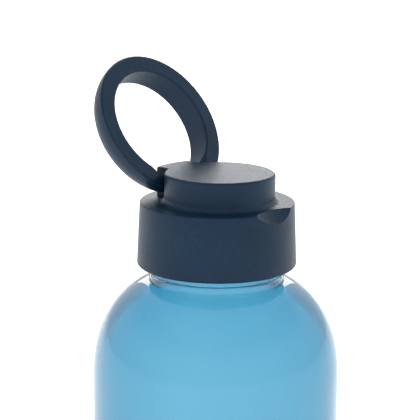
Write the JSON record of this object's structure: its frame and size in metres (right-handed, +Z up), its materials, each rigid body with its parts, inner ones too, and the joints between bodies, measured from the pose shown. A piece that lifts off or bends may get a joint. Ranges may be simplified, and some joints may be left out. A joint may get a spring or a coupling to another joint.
{
  "type": "drinking bottle",
  "caption": "Clear tinted drinking bottle with a screw lid, raised round knob, thumb notch and a hinged carry ring that folds flat round the knob.",
  "frame": {"origin": "middle of the foot, on the plane that the bottle stands on", "axes": "+Z up the bottle's axis, -Y towards the thumb notch, +Y towards the carry ring's hinge, +X along the hinge"},
  "size_m": [0.07, 0.0723, 0.2142],
  "materials": {
    "tinted_clear": "clear blue-tinted copolyester, polished",
    "silicone": "translucent silicone, satin",
    "lid_plastic": "navy polypropylene, fine moulded grain",
    "liner_plastic": "natural polypropylene, smooth",
    "ring_plastic": "navy polypropylene, fine moulded grain"
  },
  "bodies": {
    "bottle": {"bottle_body": "tinted_clear"},
    "seal": {"seal_ring": "silicone"},
    "lid": {"lid_shell": "lid_plastic", "lid_liner": "liner_plastic"},
    "ring": {"carry_ring": "ring_plastic"}
  },
  "joints": [
    {"name": "lid_lift", "type": "slide", "parent": "bottle", "child": "seal", "axis": [0, 0, 1], "range_m": [0, 0.0148]},
    {"name": "lid_turn", "type": "hinge", "parent": "seal", "child": "lid", "pos_m": [0, 0, 0.1588], "axis": [0, 0, 1], "range_deg": [0, 1260]},
    {"name": "ring_fold", "type": "hinge", "parent": "lid", "child": "ring", "pos_m": [0, 0.01535, 0.18081], "axis": [1, 0, 0], "range_deg": [0, 123.4]}
  ],
  "couplings": [
    {"joint": "lid_lift", "follows": "lid_turn", "m_per_rad": 0.00066845}
  ]
}
